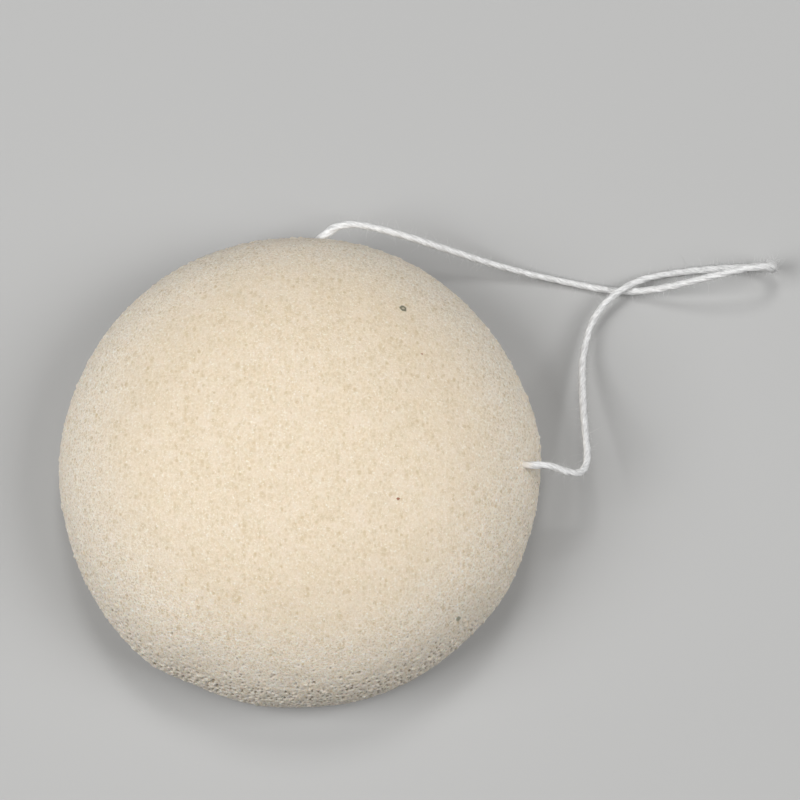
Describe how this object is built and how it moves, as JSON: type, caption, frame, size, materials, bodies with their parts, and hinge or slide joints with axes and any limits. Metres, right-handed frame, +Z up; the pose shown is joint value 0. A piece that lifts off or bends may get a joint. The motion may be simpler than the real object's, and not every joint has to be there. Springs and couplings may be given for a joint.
{
  "type": "konjac sponge",
  "caption": "Half-ball konjac face sponge with a flat back and a looped cotton hanging string threaded through its flank.",
  "frame": {"origin": "middle of the flat back, which lies on z = 0", "axes": "+Z up out of the flat back towards the top of the dome, +X towards the exit in the flank that the string leaves to the side, +Y towards the exit that it leaves at the back"},
  "size_m": [0.1194, 0.0824, 0.032],
  "materials": {
    "konjac_foam": "matte, fine open pores",
    "cotton_string": "matte, twisted and fuzzy"
  },
  "bodies": {
    "sponge": {"sponge_body": "konjac_foam", "threaded_string": "cotton_string", "string_knot": "cotton_string"},
    "loop": {"string_loop": "cotton_string"}
  },
  "joints": [
    {"name": "string_swing", "type": "hinge", "parent": "sponge", "child": "loop", "pos_m": [0.00456, 0.04038, 0.01], "axis": [0.6266, -0.7716, 0.1097], "range_deg": [0, 90]}
  ]
}
